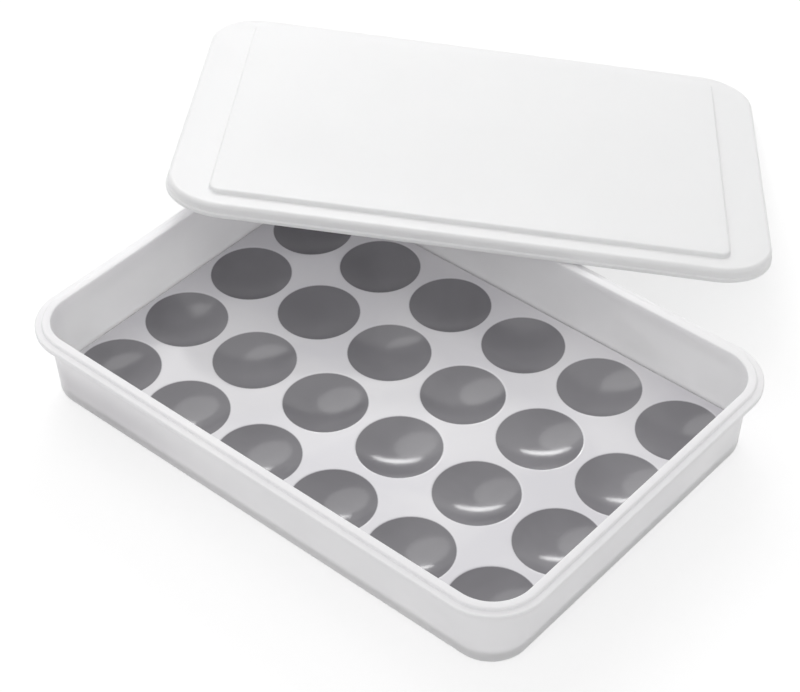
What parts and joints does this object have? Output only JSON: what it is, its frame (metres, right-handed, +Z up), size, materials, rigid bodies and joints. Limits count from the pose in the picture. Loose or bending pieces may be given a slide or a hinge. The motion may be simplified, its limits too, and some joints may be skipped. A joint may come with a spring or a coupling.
{
  "type": "egg keeper",
  "caption": "Shallow milky box with a stepped, turned-down rim, a lift-out insert of round egg cups, and a milky lift-off lid leaning on the rear rim.",
  "frame": {"origin": "middle of the flat underside of the box, which stands on a table or shelf", "axes": "+X along the long side of the box, +Y across it towards the side where the lid leans, +Z up"},
  "size_m": [0.4321, 0.4555, 0.0723],
  "materials": {
    "base_box": "milky translucent, satin",
    "egg_tray": "glossy",
    "lid": "milky translucent, satin"
  },
  "bodies": {
    "box": {"base_box": "base_box"},
    "insert": {"egg_tray": "egg_tray"},
    "lid": {"lid_panel": "lid", "lid_top": "lid", "lid_skirt": "lid"}
  },
  "joints": [
    {"name": "lid_lift", "type": "slide", "parent": "box", "child": "lid", "axis": [0, 0, 1], "range_m": [0, 0.12]},
    {"name": "insert_lift", "type": "slide", "parent": "box", "child": "insert", "axis": [0, 0, 1], "range_m": [0, 0.034]}
  ]
}
